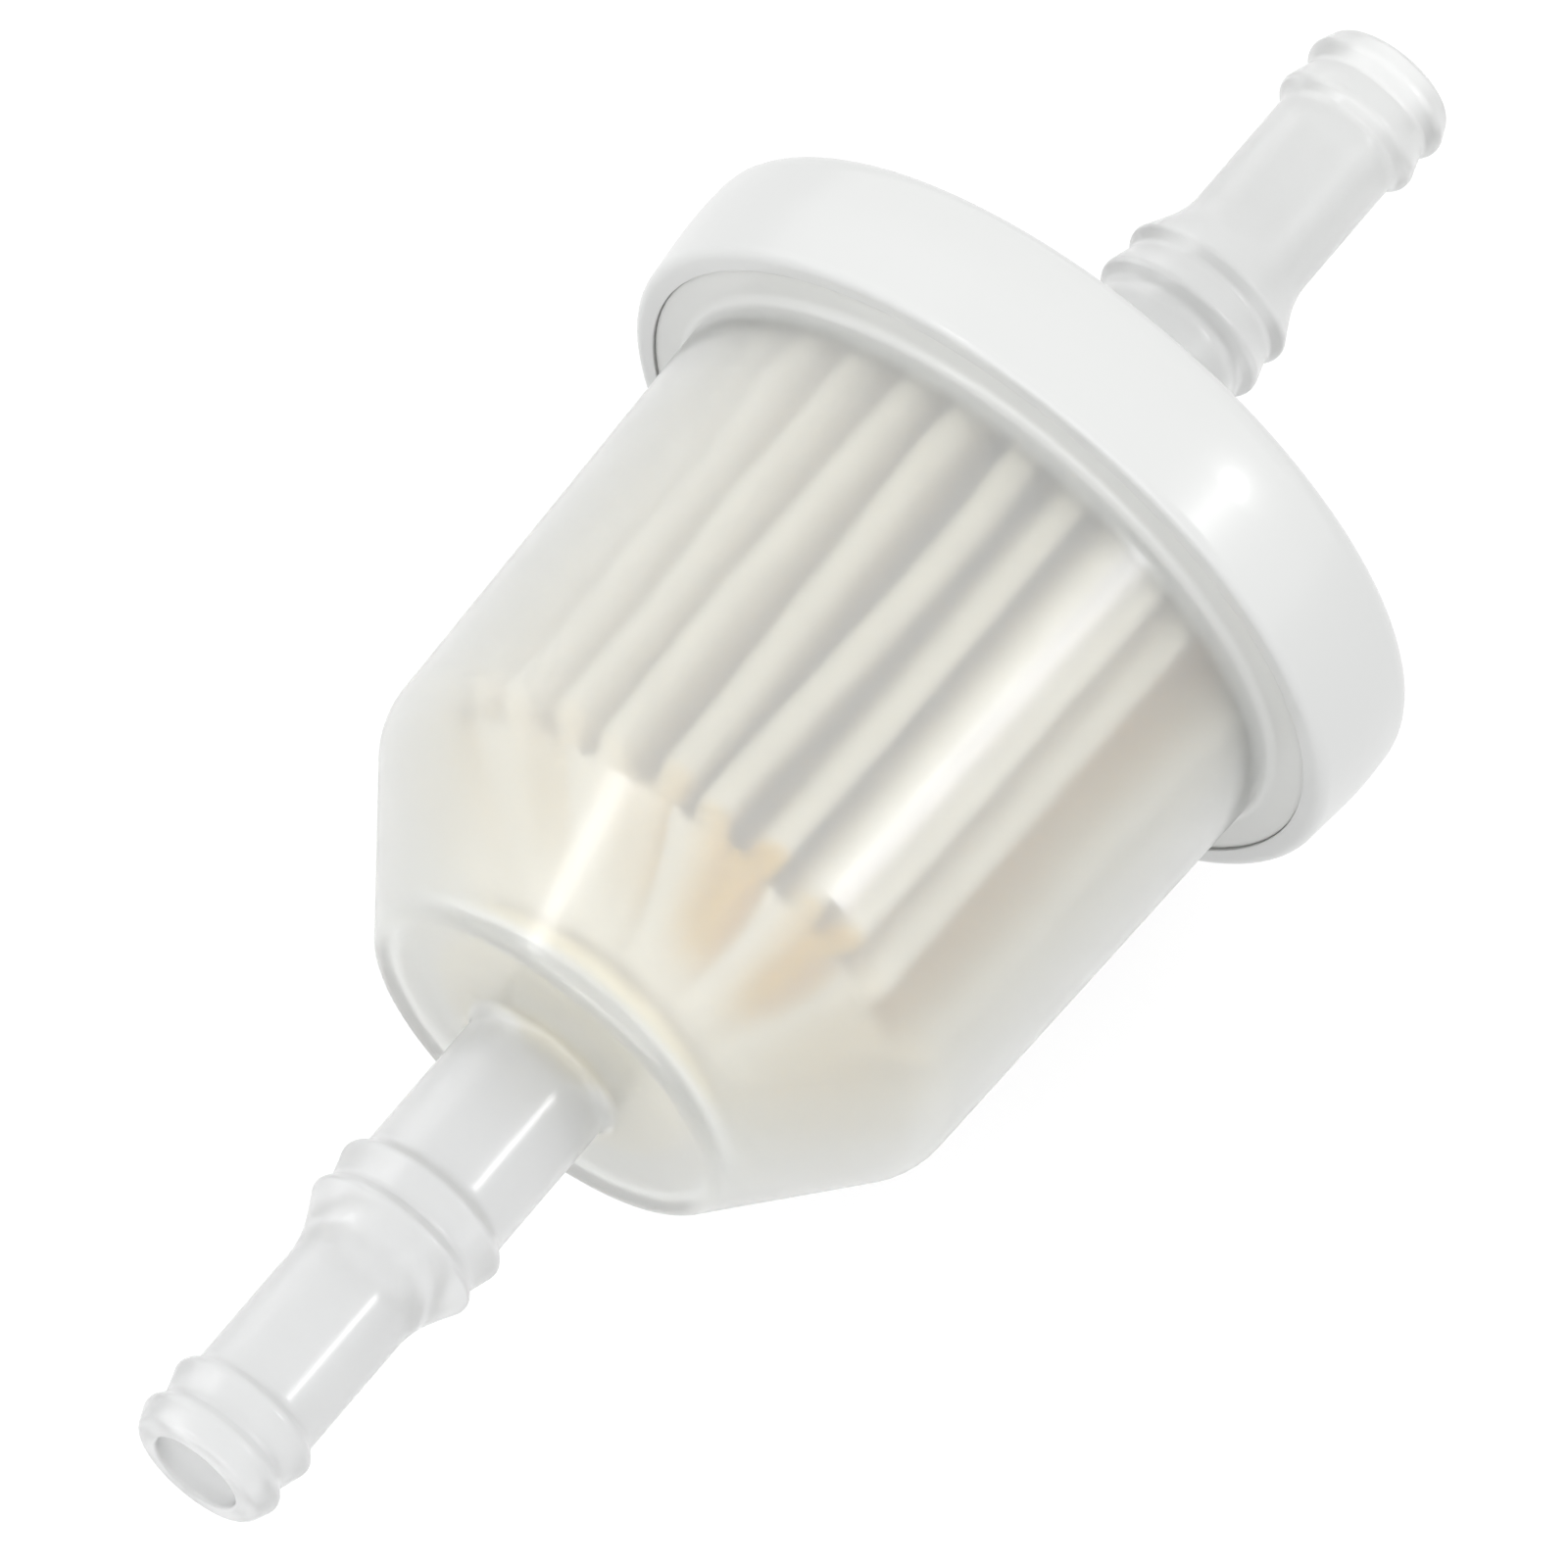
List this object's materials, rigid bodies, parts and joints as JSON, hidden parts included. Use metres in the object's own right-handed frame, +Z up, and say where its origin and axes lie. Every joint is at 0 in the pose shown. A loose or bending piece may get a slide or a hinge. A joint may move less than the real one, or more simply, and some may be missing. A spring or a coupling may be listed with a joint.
{
  "type": "inline fuel filter",
  "caption": "Milky see-through inline fuel filter: welded bowl and cap with stepped hose barbs at both ends, and a pleated paper element inside.",
  "frame": {"origin": "on the flow axis, halfway between the two spigot tips", "axes": "+X along the flow, from the inlet spigot on the bowl to the outlet spigot on the cap; +Z up as it lies"},
  "size_m": [0.088, 0.0394, 0.0394],
  "materials": {
    "bowl_plastic": "smooth milky translucent nylon",
    "cap_plastic": "smooth milky translucent nylon, thicker and whiter than the bowl",
    "filter_paper": "cream filter paper with a soft fibrous surface",
    "hot_melt": "amber hot-melt adhesive"
  },
  "bodies": {
    "root": {"inlet_bowl": "bowl_plastic", "outlet_cap": "cap_plastic", "weld_bead": "cap_plastic", "pleated_paper": "filter_paper", "side_seam_glue": "hot_melt", "open_end_seal": "hot_melt", "closed_end_seal": "hot_melt"}
  },
  "joints": []
}
